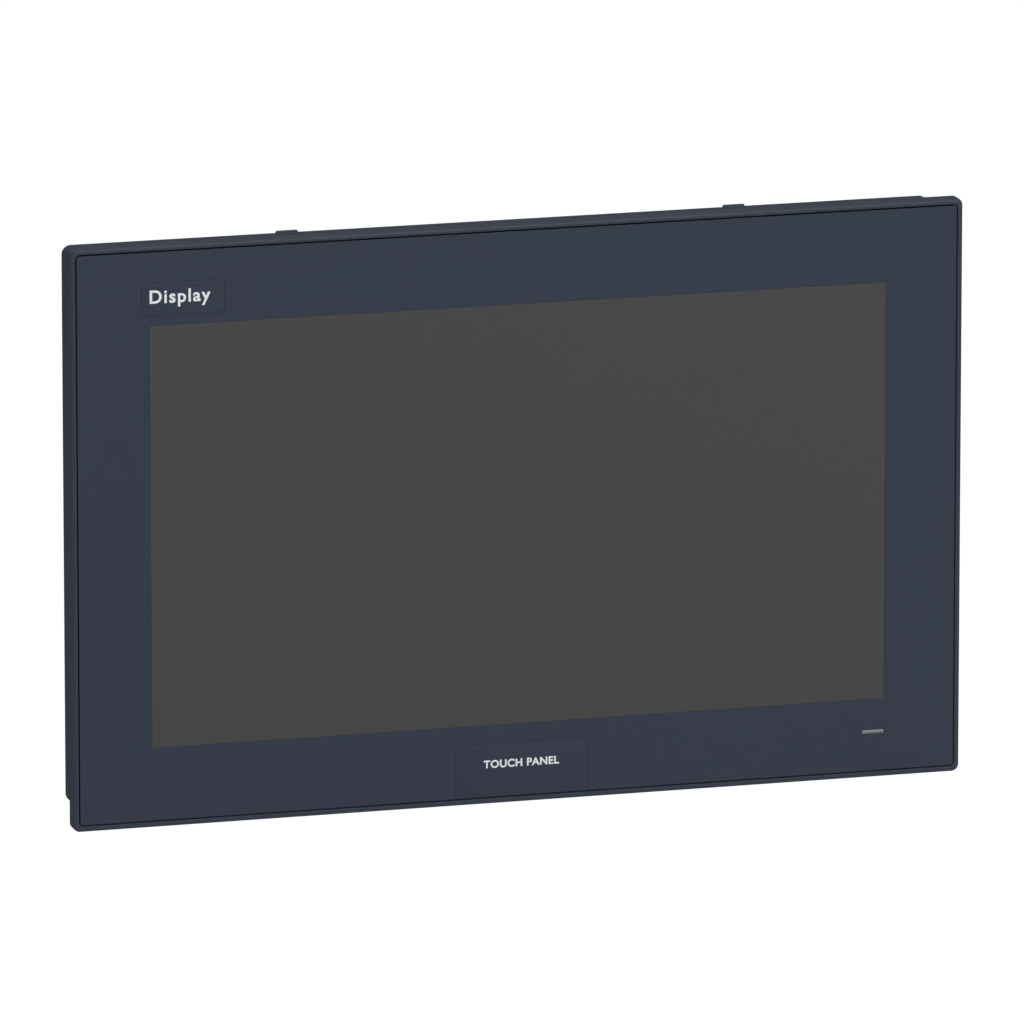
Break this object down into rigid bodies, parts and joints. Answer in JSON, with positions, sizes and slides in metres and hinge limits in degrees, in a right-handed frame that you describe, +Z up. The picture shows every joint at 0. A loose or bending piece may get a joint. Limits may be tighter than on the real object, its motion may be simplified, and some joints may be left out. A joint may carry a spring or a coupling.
{
  "type": "hmi touch panel",
  "caption": "Panel-mounted wide-screen operator touch panel with a flush front, a stepped rear housing, a finned cooler and connectors underneath.",
  "frame": {"origin": "centre of the panel cut-out, on the outer face of the cabinet door where the bezel seats", "axes": "+X right seen from the front, +Y towards the back of the panel, +Z up"},
  "size_m": [0.4196, 0.0591, 0.2686],
  "materials": {
    "slate": "satin slate powder coat",
    "slate_film": "printed satin film",
    "window": "satin grey display window",
    "label": "satin inlay",
    "lens": "translucent lens",
    "glass": "clear glass",
    "foam": "closed-cell foam",
    "steel": "nickel-plated steel",
    "zinc": "zinc-plated sheet steel",
    "aluminium": "bare extruded aluminium",
    "acrylic": "clear acrylic",
    "board": "green solder mask",
    "chip": "black moulded package",
    "flex": "amber polyimide film",
    "plastic": "black moulded plastic",
    "terminal": "green moulded plastic",
    "button": "dark grey moulded plastic",
    "spring": "bright spring wire",
    "brass": "bright brass",
    "paper": "satin label stock"
  },
  "bodies": {
    "root": {"front_bezel": "slate", "front_overlay": "slate_film", "display_window": "window", "name_label": "label", "logo_label": "label", "status_lens": "lens", "touch_glass": "glass", "glass_seal": "foam", "panel_gasket": "foam", "light_pipe": "acrylic", "led_board": "board", "touch_controller": "board", "touch_flex": "flex", "lcd_dust_seal": "foam", "lcd_frame": "zinc", "lcd_cell": "glass", "light_guide": "acrylic", "backlight_tray": "steel", "lcd_bracket_left": "zinc", "lcd_bracket_right": "zinc", "lcd_cable": "flex", "housing_frame": "slate", "chassis_plate": "zinc", "catch_spring_left": "spring", "catch_spring_right": "spring", "main_board": "board", "io_plate": "steel", "power_header": "terminal", "lan_ports": "steel", "usb_ports": "steel", "serial_port": "steel", "video_port": "plastic", "power_switch": "plastic", "reset_switch": "plastic", "processor": "chip", "heat_spreader": "aluminium", "memory_socket": "plastic", "memory_module": "board", "coin_cell_holder": "plastic", "coin_cell": "steel", "card_socket": "plastic", "rear_cover": "zinc", "heat_sink": "aluminium", "door_hinge_pin": "steel", "ground_stud": "brass", "rating_label": "paper", "cover_screw_1": "steel", "cover_screw_2": "steel", "cover_screw_3": "steel", "cover_screw_4": "steel", "cover_screw_5": "steel", "cover_screw_6": "steel"},
    "catch_left": {"catch_left": "slate"},
    "catch_right": {"catch_right": "slate"},
    "access_door": {"access_door": "zinc"},
    "door_latch": {"door_latch": "steel"},
    "power_button": {"power_button": "button"},
    "reset_button": {"reset_button": "button"},
    "storage_card": {"storage_card": "plastic"}
  },
  "joints": [
    {"name": "catch_left_press", "type": "slide", "parent": "root", "child": "catch_left", "axis": [0, 0, 1], "range_m": [-0.0016, 0], "stiffness_N_per_m": 800, "springref_m": 0.003, "deforming": ["catch_spring_left"]},
    {"name": "catch_right_press", "type": "slide", "parent": "root", "child": "catch_right", "axis": [0, 0, 1], "range_m": [-0.0016, 0], "stiffness_N_per_m": 800, "springref_m": 0.003, "deforming": ["catch_spring_right"]},
    {"name": "access_door_hinge", "type": "hinge", "parent": "root", "child": "access_door", "pos_m": [0.181, 0.048, 0], "axis": [0, 0, -1], "range_deg": [0, 110]},
    {"name": "door_latch_turn", "type": "hinge", "parent": "access_door", "child": "door_latch", "pos_m": [0.106, 0.045, 0], "axis": [0, 1, 0], "range_deg": [0, 90]},
    {"name": "power_button_press", "type": "slide", "parent": "root", "child": "power_button", "axis": [0, 0, 1], "range_m": [0, 0.001], "stiffness_N_per_m": 1200, "springref_m": -0.0005},
    {"name": "reset_button_press", "type": "slide", "parent": "root", "child": "reset_button", "axis": [0, 0, 1], "range_m": [0, 0.001], "stiffness_N_per_m": 1200, "springref_m": -0.0005},
    {"name": "storage_card_slide", "type": "slide", "parent": "root", "child": "storage_card", "axis": [0, 0, 1], "range_m": [0, 0.022]}
  ]
}
